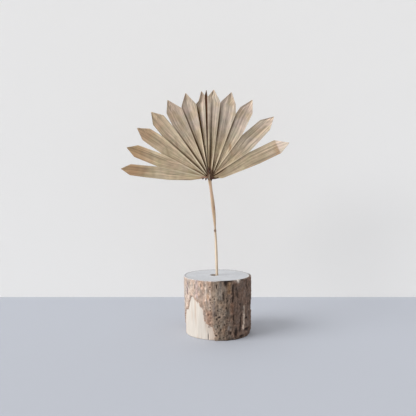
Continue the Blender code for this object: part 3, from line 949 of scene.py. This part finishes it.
def make_bark(material):
    """A shell over the wood, closed all round, that dips under the wood's surface where it ends."""
    turns = np.linspace(-math.pi, math.pi, BARK_COLUMNS, endpoint=False)
    levels = np.linspace(0, LOG_TOP, BARK_ROWS)
    angles, heights = np.meshgrid(turns, levels)
    depth, above = bark_depth(angles, heights)
    wood = wood_radius(angles, heights)
    end = smooth(0, 1.2 * MM, heights) * smooth(LOG_TOP, LOG_TOP - 0.8 * MM, heights)
    outer = on_trunk(angles, heights, wood + depth - 0.5 * MM * (1 - end) * (depth > 0))
    inner = on_trunk(angles, heights, wood - BARK_INSIDE)
    rows, columns = angles.shape
    numbers = np.arange(rows * columns).reshape(rows, columns)
    numbers = np.concatenate((numbers, numbers[:, :1]), axis=1)
    shown = np.concatenate((depth, depth[:, :1]), axis=1) > -BARK_BURIED
    kept = shown[:-1, :-1] | shown[:-1, 1:] | shown[1:, 1:] | shown[1:, :-1]
    faces = quads(numbers)[kept]
    further = rows * columns
    sides = np.stack((faces, np.roll(faces, -1, axis=1)), axis=2).reshape(-1, 2)
    edges = dict.fromkeys(map(tuple, sides.tolist()))
    rim = [(b, a, a + further, b + further) for a, b in edges if (b, a) not in edges]
    points = np.concatenate((outer.reshape(-1, 3), inner.reshape(-1, 3)))
    used, faces = only_used(np.concatenate((faces, faces[:, ::-1] + further, rim)))
    tint = bark_tint(angles, heights, depth, above).reshape(-1, 3)
    tint = np.concatenate((tint, 0.7 * tint))[used]
    bark = make_piece("log_bark", points[used], faces, material, "log_holder")
    store_tint(bark, tint)


def make_wood(side, sawn):
    """The log's wood, one closed surface from its underside's middle round to the bore's floor."""
    turns = np.linspace(-math.pi, math.pi, WOOD_COLUMNS, endpoint=False)
    rings, tints, kinds = [], [], []

    def ring(points, tint, kind):
        rings.append(points)
        tints.append(np.broadcast_to(tint, (WOOD_COLUMNS, 3)))
        kinds.append(kind)

    def level(height, shrink=0.0):
        heights = np.full(WOOD_COLUMNS, height)
        return on_trunk(turns, heights, wood_radius(turns, heights) - shrink)

    for share in np.linspace(0.04, 1, 14):
        ring(level(0.0, MM) * (share, share, 1), SAWN_TAN, 1)
    for height in np.linspace(MM, LOG_TOP - MM, 110):
        heights = np.full(WOOD_COLUMNS, height)
        grain = trunk_noise(turns, heights, 5, 40, 12)
        split = hump(apart(turns, -17), 0.4 * math.sin(height / (3 * MM)), 0.45)
        split *= smooth(15, 10, height / MM)
        tint = mix(BARE_CREAM, BARE_TAN, smooth(-0.1, 0.7, grain))
        tan = smooth(-19, -13, np.degrees(turns)) * smooth(30, 20, height / MM)
        tint = mix(tint, BARE_TAN, 0.7 * tan)
        tint = mix(tint, CRACK_BROWN, 0.8 * split)
        radius = wood_radius(turns, heights) + 0.25 * MM * grain - 0.9 * MM * split
        ring(on_trunk(turns, heights, radius), tint, 0)
    rim = level(LOG_TOP, 0.4 * MM)
    mouth = np.stack((BORE_X + BORE_RADIUS * np.sin(turns), -BORE_RADIUS * np.cos(turns)), axis=-1)
    mouth = np.concatenate((mouth, np.full((WOOD_COLUMNS, 1), LOG_TOP)), axis=1)
    for share in np.linspace(0, 1, 40):
        points = rim + (mouth - rim) * share
        if 0.0 < share < 1.0:
            points[:, 2] -= 0.12 * MM * (1 + cloud(points, 16, 2))
        tint = mix(SAWN_GREY, SAWN_TAN, 0.35 * hump(share, 0, 0.05))
        split = hump(apart(turns, 19), 0, 11) * hump(share, 0, 0.035)
        ring(points, mix(tint, CRACK_BROWN, 0.8 * split), 1)
    for share in np.linspace(0.01, 1, 30):
        points = mouth - (0.0, 0.0, BORE_DEPTH * share)
        rough = 0.03 * cloud(points, (3, 3, 6), 0, 2)
        points[:, :2] += (points[:, :2] - (BORE_X, 0.0)) * rough[:, None]
        # Darker down the bore: the wood's own brown and painted shade
        ring(points, mix(BARE_TAN * 0.8, BORE_BROWN_AND_SHADE, smooth(0, 0.12, share)), 0)
    floor = mouth - (0.0, 0.0, BORE_DEPTH)
    centre = floor.mean(axis=0)
    for share in (0.7, 0.35, 0.08):
        ring(centre + (floor - centre) * share, BORE_BROWN_AND_SHADE, 0)

    points, faces = close_tube(np.stack(rings))
    wood = make_piece("log_wood", points, faces, side, "log_holder")
    wood.data.materials.append(sawn)
    bands = np.repeat(np.minimum(kinds[:-1], kinds[1:]), WOOD_COLUMNS)
    ends = np.tile((kinds[0], kinds[-1]), WOOD_COLUMNS)
    wood.data.polygons.foreach_set("material_index", np.concatenate((bands, ends)).astype(np.int32))
    store_tint(wood, with_ends(np.stack(tints)))
    wood.data.set_sharp_from_angle(angle=math.radians(40))


# Stage, light and camera

CAMERA_PLACE = (-0.002, -0.767, 0.2239)
CAMERA_AIM = (-0.002, 0.0, 0.2239)
CAMERA_LENS = 44.57
CAMERA_SHIFT = (-0.0192, -0.0649)
WALL_Y = 0.227
STAGE_SIZE = 6.0
FLOOR_COLOUR = srgb(190, 194, 203)
WALL_COLOUR = srgb(251, 250, 248)


def sheet(name, corners, finish):
    """A flat sheet of the stage."""
    mesh = bpy.data.meshes.new(name)
    mesh.from_pydata(corners, [], [(0, 1, 2, 3)])
    mesh.materials.append(finish.material)
    made = put(name, mesh)


def make_stage():
    """A plain floor, and a plain wall close behind that can't be seen from its own back."""
    floor = plain_finish("stage_floor", FLOOR_COLOUR)
    wall = plain_finish("stage_wall", WALL_COLOUR)
    behind = wall.add("ShaderNodeNewGeometry").outputs["Backfacing"]
    clear = wall.add("ShaderNodeBsdfTransparent").outputs["BSDF"]
    solid = wall.shader.outputs["BSDF"]
    both = wall.add("ShaderNodeMixShader", {}, {0: behind, 1: solid, 2: clear})
    output = wall.tree.nodes["Material Output"]
    wall.tree.links.new(both.outputs["Shader"], output.inputs["Surface"])
    half, y = STAGE_SIZE / 2, WALL_Y
    sheet("floor", [(-half, -half, 0), (half, -half, 0), (half, half, 0), (-half, half, 0)], floor)
    sheet("wall", [(-half, y, 0), (half, y, 0), (half, y, half), (-half, y, half)], wall)


def make_camera():
    camera = bpy.data.cameras.new("camera")
    camera.lens = CAMERA_LENS
    camera.shift_x, camera.shift_y = CAMERA_SHIFT
    made = put("camera", camera, Vector(CAMERA_AIM) - Vector(CAMERA_PLACE))
    made.location = CAMERA_PLACE
    bpy.context.scene.camera = made


def light_scene():
    world = bpy.data.worlds.new("room")
    world.use_nodes = True
    background = world.node_tree.nodes["Background"]
    background.inputs["Color"].default_value = (1.0, 0.995, 0.99, 1.0)
    background.inputs["Strength"].default_value = 0.61
    bpy.context.scene.world = world
    bpy.context.scene.view_settings.view_transform = "Standard"
    window = bpy.data.lights.new("window", "SUN")
    window.angle = math.radians(42)
    window.energy = 2.2
    put("window", window, Vector((1.0, 0.42, -0.62)))


def main():
    make_camera()
    make_stage()
    light_scene()
    leaf, stalk = leaf_finish(), stalk_finish()
    make_blade(leaf)
    make_stalk(stalk)
    make_hub(stalk)
    make_scraps(stalk)
    make_bark(bark_finish())
    make_wood(side_wood_finish(), sawn_wood_finish())


main()
